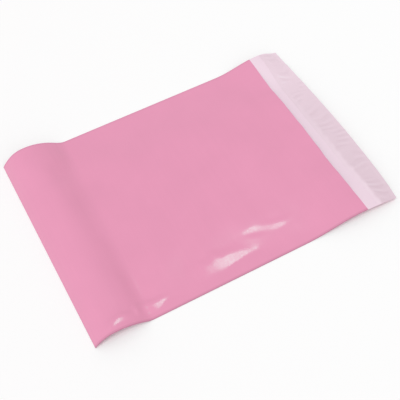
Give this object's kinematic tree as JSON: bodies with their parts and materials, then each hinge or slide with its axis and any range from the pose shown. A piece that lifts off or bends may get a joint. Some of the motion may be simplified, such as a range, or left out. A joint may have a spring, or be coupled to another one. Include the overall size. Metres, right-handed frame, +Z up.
{
  "type": "poly mailer bag",
  "caption": "Empty flat mailing bag of glossy pink film, folded at the bottom and welded at the sides, with its peel-and-seal flap opened out and an adhesive strip under a milky release liner",
  "frame": {"origin": "under the middle of the bag, on the plane that it lies on", "axes": "+X from the bottom fold to the flap's outer edge, +Y across the bag, +Z up, with the mouth side up"},
  "size_m": [0.4, 0.28, 0.0248],
  "materials": {
    "pink_film": "glossy polyethylene film, pink outside and white inside",
    "clear_adhesive": "hot-melt adhesive, nearly clear",
    "milky_liner": "thin translucent release film, milky, with fine cross wrinkles"
  },
  "bodies": {
    "root": {"bag_film": "pink_film", "adhesive_strip": "clear_adhesive", "release_liner": "milky_liner"}
  },
  "joints": []
}
